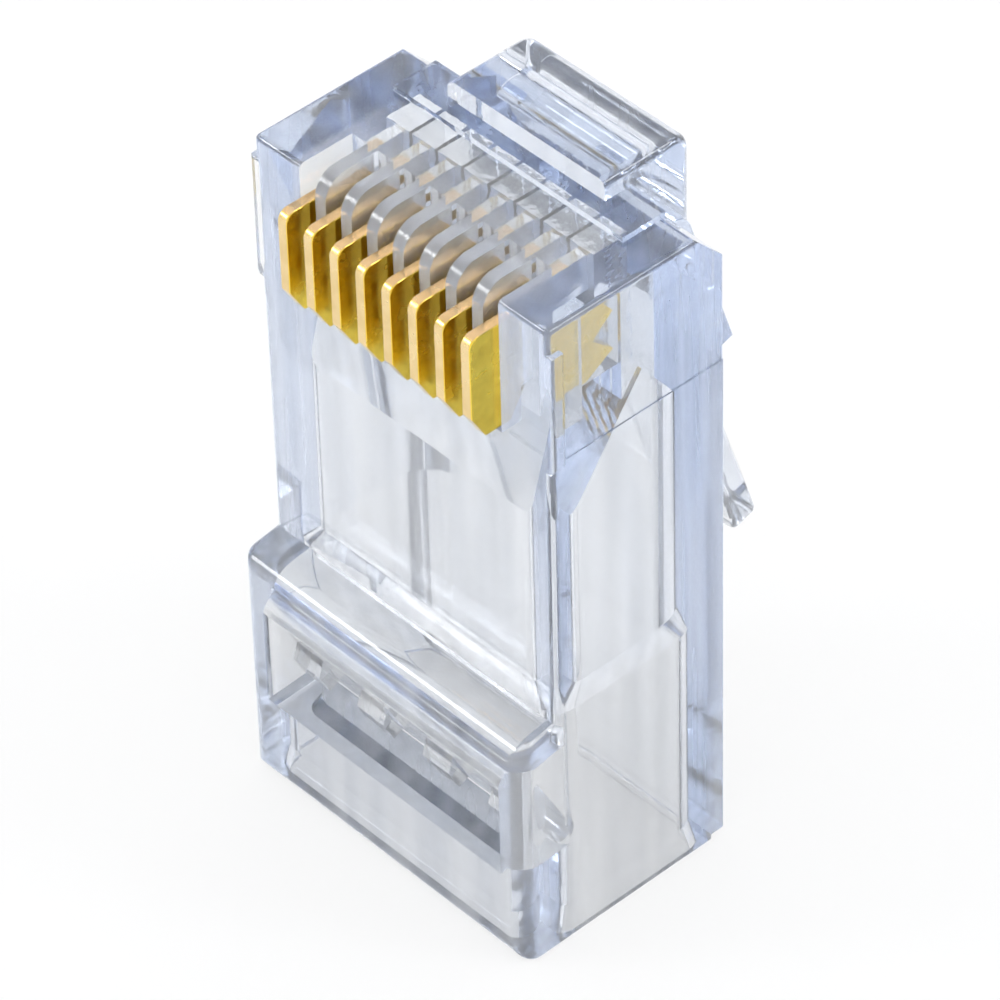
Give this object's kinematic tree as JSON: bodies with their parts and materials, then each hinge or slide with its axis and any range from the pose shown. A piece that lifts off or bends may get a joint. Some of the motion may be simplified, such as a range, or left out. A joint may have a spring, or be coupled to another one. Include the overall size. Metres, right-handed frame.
{
  "type": "rj45 modular plug",
  "caption": "Clear modular network plug with raised gold blade contacts, a sprung latch lever and a rear pocket with a strain relief bar, open for a cable.",
  "frame": {"origin": "the middle of the cable entry, on the rear face", "axes": "+Z runs from the cable entry to the nose, +X across the contacts, -Y is the side where the contacts show and +Y the side of the latch"},
  "size_m": [0.0118, 0.0131, 0.0233],
  "materials": {
    "clear_plastic": "clear polycarbonate with a faint blue tint, polished",
    "contact_gold": "gold plated phosphor bronze, bright, stamped edges"
  },
  "bodies": {
    "housing": {"housing": "clear_plastic"},
    "latch": {"latch": "clear_plastic"},
    "strain_relief_bar": {"strain_relief_bar": "clear_plastic"},
    "contact_1": {"contact_1": "contact_gold"},
    "contact_2": {"contact_2": "contact_gold"},
    "contact_3": {"contact_3": "contact_gold"},
    "contact_4": {"contact_4": "contact_gold"},
    "contact_5": {"contact_5": "contact_gold"},
    "contact_6": {"contact_6": "contact_gold"},
    "contact_7": {"contact_7": "contact_gold"},
    "contact_8": {"contact_8": "contact_gold"}
  },
  "joints": [
    {"name": "latch_press", "type": "hinge", "parent": "housing", "child": "latch", "pos_m": [0, 0.00413, 0.0198], "axis": [-1, 0, 0], "range_deg": [0, 16], "stiffness_Nm_per_rad": 0.02},
    {"name": "strain_relief_press", "type": "hinge", "parent": "housing", "child": "strain_relief_bar", "pos_m": [0, -0.00231, 0.00362], "axis": [-1, 0, 0], "range_deg": [0, 40]},
    {"name": "contact_1_press", "type": "slide", "parent": "housing", "child": "contact_1", "axis": [0, 1, 0], "range_m": [0, 0.00125]},
    {"name": "contact_2_press", "type": "slide", "parent": "housing", "child": "contact_2", "axis": [0, 1, 0], "range_m": [0, 0.00125]},
    {"name": "contact_3_press", "type": "slide", "parent": "housing", "child": "contact_3", "axis": [0, 1, 0], "range_m": [0, 0.00125]},
    {"name": "contact_4_press", "type": "slide", "parent": "housing", "child": "contact_4", "axis": [0, 1, 0], "range_m": [0, 0.00125]},
    {"name": "contact_5_press", "type": "slide", "parent": "housing", "child": "contact_5", "axis": [0, 1, 0], "range_m": [0, 0.00125]},
    {"name": "contact_6_press", "type": "slide", "parent": "housing", "child": "contact_6", "axis": [0, 1, 0], "range_m": [0, 0.00125]},
    {"name": "contact_7_press", "type": "slide", "parent": "housing", "child": "contact_7", "axis": [0, 1, 0], "range_m": [0, 0.00125]},
    {"name": "contact_8_press", "type": "slide", "parent": "housing", "child": "contact_8", "axis": [0, 1, 0], "range_m": [0, 0.00125]}
  ],
  "couplings": [
    {"joint": "contact_2_press", "follows": "contact_1_press", "ratio": 1},
    {"joint": "contact_3_press", "follows": "contact_1_press", "ratio": 1},
    {"joint": "contact_4_press", "follows": "contact_1_press", "ratio": 1},
    {"joint": "contact_5_press", "follows": "contact_1_press", "ratio": 1},
    {"joint": "contact_6_press", "follows": "contact_1_press", "ratio": 1},
    {"joint": "contact_7_press", "follows": "contact_1_press", "ratio": 1},
    {"joint": "contact_8_press", "follows": "contact_1_press", "ratio": 1}
  ]
}
